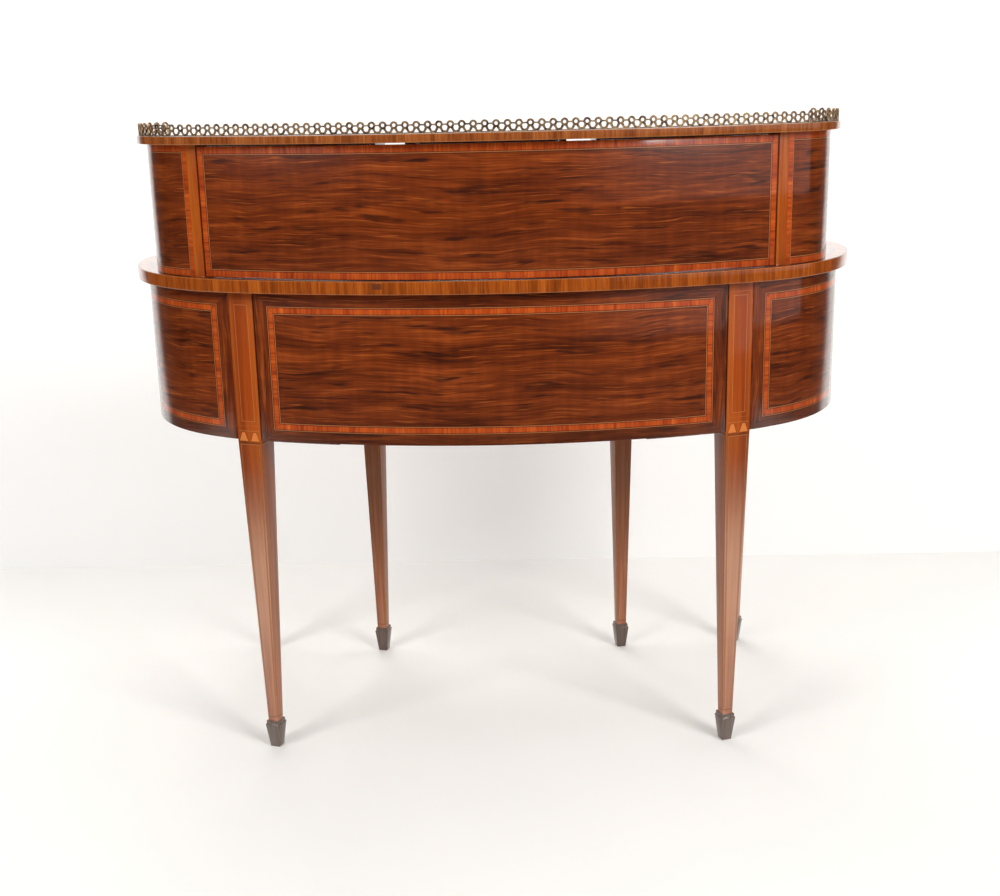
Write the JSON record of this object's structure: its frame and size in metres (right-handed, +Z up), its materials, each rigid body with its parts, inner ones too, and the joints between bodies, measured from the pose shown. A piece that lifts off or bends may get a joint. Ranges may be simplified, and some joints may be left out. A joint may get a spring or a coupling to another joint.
{
  "type": "kidney writing desk",
  "caption": "Kidney-shaped writing desk on six tapering legs, with drawers round a kneehole, a low superstructure of drawers and letter slots, and a pierced gallery.",
  "frame": {"origin": "centre of the desk's overall box at floor level", "axes": "+X to the sitter's right hand seen from the front, -Y towards the sitter, +Y towards the bowed back, +Z up"},
  "size_m": [1.176, 0.57, 1.0036],
  "materials": {
    "mahogany": "polished, dark red-brown, strongly figured and cross-banded",
    "stile_mahogany": "polished, golden-brown straight grain with inlaid strings",
    "leg_mahogany": "polished, brown straight grain with inlaid strings and darkened spade feet",
    "edge_mahogany": "polished, golden-brown vertical cross grain at the edge",
    "cedar_lining": "unpolished, pale brown straight grain",
    "tooled_leather": "dark green hide with a plain gilt line near its edge",
    "aged_brass": "dull aged brass"
  },
  "bodies": {
    "desk": {"back_leg_left": "leg_mahogany", "back_leg_right": "leg_mahogany", "bank_shelf_left": "stile_mahogany", "bank_shelf_right": "stile_mahogany", "centre_divider_left": "stile_mahogany", "centre_divider_right": "stile_mahogany", "centre_valance": "mahogany", "gallery": "aged_brass", "kneehole_dust_board": "edge_mahogany", "kneehole_leg_left": "leg_mahogany", "kneehole_leg_right": "leg_mahogany", "leather_inset": "tooled_leather", "lower_back_panel": "mahogany", "lower_side_panel_left": "mahogany", "lower_side_panel_right": "mahogany", "outer_front_leg_left": "leg_mahogany", "outer_front_leg_right": "leg_mahogany", "pedestal_bottom_left": "edge_mahogany", "pedestal_bottom_right": "edge_mahogany", "pedestal_dust_board_left": "edge_mahogany", "pedestal_dust_board_right": "edge_mahogany", "pedestal_inner_side_left": "mahogany", "pedestal_inner_side_right": "mahogany", "slot_divider_left": "stile_mahogany", "slot_divider_right": "stile_mahogany", "top_board": "edge_mahogany", "upper_back_panel": "mahogany", "upper_pilaster_left": "stile_mahogany", "upper_pilaster_right": "stile_mahogany", "upper_side_panel_left": "mahogany", "upper_side_panel_right": "mahogany", "writing_top": "edge_mahogany"},
    "kneehole_drawer": {"kneehole_drawer_front": "mahogany", "kneehole_drawer_lining": "cedar_lining", "kneehole_drawer_pull_left_plate": "aged_brass", "kneehole_drawer_pull_right_plate": "aged_brass"},
    "pedestal_lower_drawer_left": {"pedestal_lower_drawer_front_left": "mahogany", "pedestal_lower_drawer_lining_left": "cedar_lining", "pedestal_lower_drawer_pull_left_plate": "aged_brass"},
    "pedestal_lower_drawer_right": {"pedestal_lower_drawer_front_right": "mahogany", "pedestal_lower_drawer_lining_right": "cedar_lining", "pedestal_lower_drawer_pull_right_plate": "aged_brass"},
    "pedestal_upper_drawer_left": {"pedestal_upper_drawer_front_left": "mahogany", "pedestal_upper_drawer_lining_left": "cedar_lining", "pedestal_upper_drawer_pull_left_plate": "aged_brass"},
    "pedestal_upper_drawer_right": {"pedestal_upper_drawer_front_right": "mahogany", "pedestal_upper_drawer_lining_right": "cedar_lining", "pedestal_upper_drawer_pull_right_plate": "aged_brass"},
    "bank_drawer_left": {"bank_drawer_front_left": "mahogany", "bank_drawer_lining_left": "cedar_lining", "bank_drawer_knob_left": "aged_brass"},
    "bank_drawer_right": {"bank_drawer_front_right": "mahogany", "bank_drawer_lining_right": "cedar_lining", "bank_drawer_knob_right": "aged_brass"},
    "kneehole_drawer_pull_right_ring": {"kneehole_drawer_pull_right_ring": "aged_brass"},
    "kneehole_drawer_pull_left_ring": {"kneehole_drawer_pull_left_ring": "aged_brass"},
    "pedestal_lower_drawer_pull_right_ring": {"pedestal_lower_drawer_pull_right_ring": "aged_brass"},
    "pedestal_lower_drawer_pull_left_ring": {"pedestal_lower_drawer_pull_left_ring": "aged_brass"},
    "pedestal_upper_drawer_pull_right_ring": {"pedestal_upper_drawer_pull_right_ring": "aged_brass"},
    "pedestal_upper_drawer_pull_left_ring": {"pedestal_upper_drawer_pull_left_ring": "aged_brass"}
  },
  "joints": [
    {"name": "kneehole_drawer_slide", "type": "slide", "parent": "desk", "child": "kneehole_drawer", "axis": [0, -1, 0], "range_m": [0, 0.3]},
    {"name": "pedestal_lower_drawer_left_slide", "type": "slide", "parent": "desk", "child": "pedestal_lower_drawer_left", "axis": [0, -1, 0], "range_m": [0, 0.28]},
    {"name": "pedestal_lower_drawer_right_slide", "type": "slide", "parent": "desk", "child": "pedestal_lower_drawer_right", "axis": [0, -1, 0], "range_m": [0, 0.28]},
    {"name": "pedestal_upper_drawer_left_slide", "type": "slide", "parent": "desk", "child": "pedestal_upper_drawer_left", "axis": [0, -1, 0], "range_m": [0, 0.28]},
    {"name": "pedestal_upper_drawer_right_slide", "type": "slide", "parent": "desk", "child": "pedestal_upper_drawer_right", "axis": [0, -1, 0], "range_m": [0, 0.28]},
    {"name": "bank_drawer_left_slide", "type": "slide", "parent": "desk", "child": "bank_drawer_left", "axis": [0, -1, 0], "range_m": [0, 0.12]},
    {"name": "bank_drawer_right_slide", "type": "slide", "parent": "desk", "child": "bank_drawer_right", "axis": [0, -1, 0], "range_m": [0, 0.12]},
    {"name": "kneehole_drawer_pull_right_ring_hinge", "type": "hinge", "parent": "kneehole_drawer", "child": "kneehole_drawer_pull_right_ring", "pos_m": [0.12727, -0.22021, 0.7185], "axis": [-0.9909, 0.1346, 0], "range_deg": [0, 165]},
    {"name": "kneehole_drawer_pull_left_ring_hinge", "type": "hinge", "parent": "kneehole_drawer", "child": "kneehole_drawer_pull_left_ring", "pos_m": [-0.12727, -0.22021, 0.7185], "axis": [-0.9909, -0.1346, 0], "range_deg": [0, 165]},
    {"name": "pedestal_lower_drawer_pull_right_ring_hinge", "type": "hinge", "parent": "pedestal_lower_drawer_right", "child": "pedestal_lower_drawer_pull_right_ring", "pos_m": [0.33633, -0.2703, 0.5935], "axis": [-0.9847, 0.1745, 0], "range_deg": [0, 165]},
    {"name": "pedestal_lower_drawer_pull_left_ring_hinge", "type": "hinge", "parent": "pedestal_lower_drawer_left", "child": "pedestal_lower_drawer_pull_left_ring", "pos_m": [-0.33633, -0.2703, 0.5935], "axis": [-0.9847, -0.1745, 0], "range_deg": [0, 165]},
    {"name": "pedestal_upper_drawer_pull_right_ring_hinge", "type": "hinge", "parent": "pedestal_upper_drawer_right", "child": "pedestal_upper_drawer_pull_right_ring", "pos_m": [0.33633, -0.2703, 0.7105], "axis": [-0.9847, 0.1745, 0], "range_deg": [0, 165]},
    {"name": "pedestal_upper_drawer_pull_left_ring_hinge", "type": "hinge", "parent": "pedestal_upper_drawer_left", "child": "pedestal_upper_drawer_pull_left_ring", "pos_m": [-0.33633, -0.2703, 0.7105], "axis": [-0.9847, -0.1745, 0], "range_deg": [0, 165]}
  ]
}
